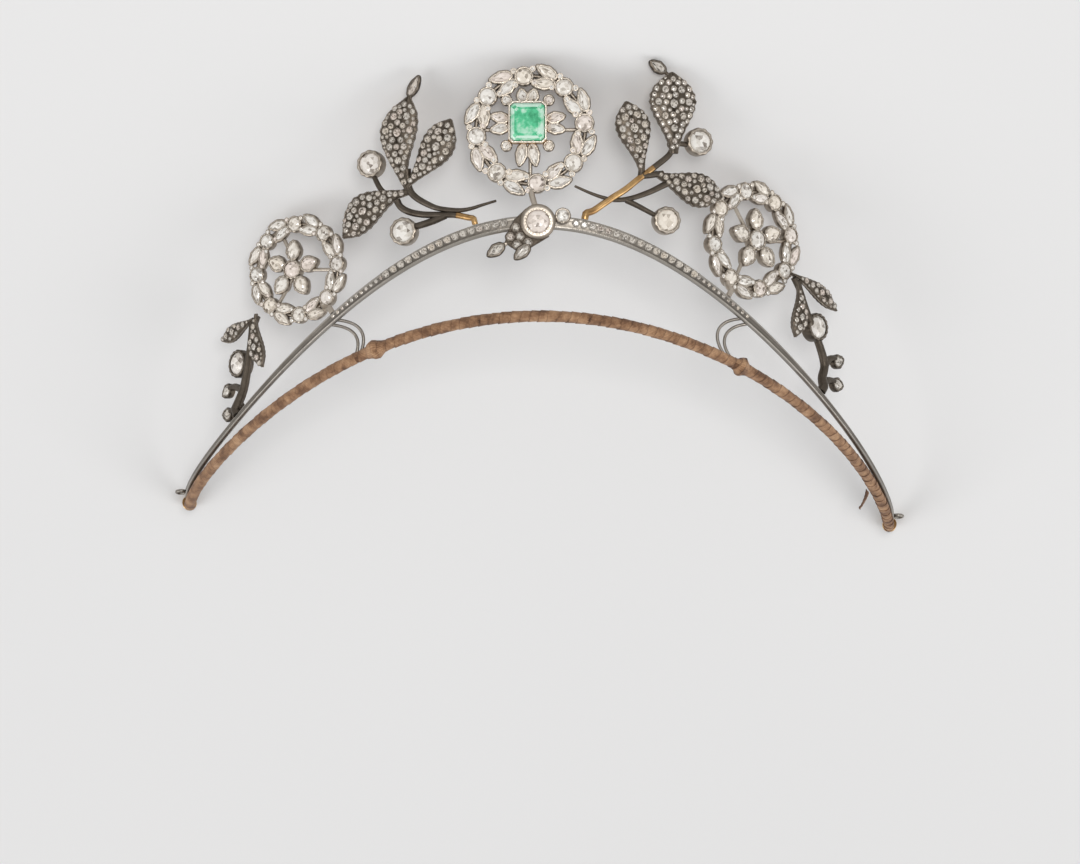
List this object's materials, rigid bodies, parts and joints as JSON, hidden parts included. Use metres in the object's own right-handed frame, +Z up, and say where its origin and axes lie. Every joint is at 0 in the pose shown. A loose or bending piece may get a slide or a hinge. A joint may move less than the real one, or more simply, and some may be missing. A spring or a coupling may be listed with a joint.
{
  "type": "diadem",
  "caption": "Hair diadem of an upper and a lower band with jewelled flowers, leaves and trailing sprigs, an emerald in the middle flower and ribbon wound on the lower band.",
  "frame": {"origin": "centre of the bounding box at its base, the surface that the diadem lies on", "axes": "+X from the diadem's right end to its left end as the wearer's viewer sees it from the front, +Z up from the surface, +Y from the tallest leaf towards the two band ends"},
  "size_m": [0.1662, 0.1209, 0.0354],
  "materials": {
    "band_silver": "aged silver with soft shine",
    "flower_silver": "worn silver over gold",
    "dark_silver": "darkly tarnished silver",
    "diamond": "old cut and rose cut, polished",
    "emerald": "step cut, polished",
    "ribbon": "wound silk ribbon"
  },
  "bodies": {
    "root": {"frame": "band_silver", "ribbon_left": "ribbon", "ribbon_middle": "ribbon", "ribbon_right": "ribbon", "ribbon_tail": "ribbon", "band_stones_left": "diamond", "band_stones_right": "diamond", "centre_setting": "flower_silver", "emerald": "emerald", "centre_cluster_stones": "diamond", "centre_wreath_stones": "diamond", "knot_setting": "flower_silver", "knot_stone": "diamond", "knot_side_stone": "diamond", "knot_leaf_stones": "diamond", "spray_left": "dark_silver", "spray_left_stones": "diamond", "spray_left_upper_stone": "diamond", "spray_left_lower_stone": "diamond", "spray_right": "dark_silver", "spray_right_stones": "diamond", "spray_right_upper_stone": "diamond", "spray_right_lower_stone": "diamond", "flower_left": "flower_silver", "flower_left_heart": "diamond", "flower_left_stones": "diamond", "flower_right": "flower_silver", "flower_right_heart": "diamond", "flower_right_stones": "diamond", "sprig_left": "dark_silver", "sprig_left_stones": "diamond", "sprig_left_round_stone": "diamond", "sprig_right": "dark_silver", "sprig_right_stones": "diamond", "sprig_right_round_stone": "diamond"}
  },
  "joints": []
}
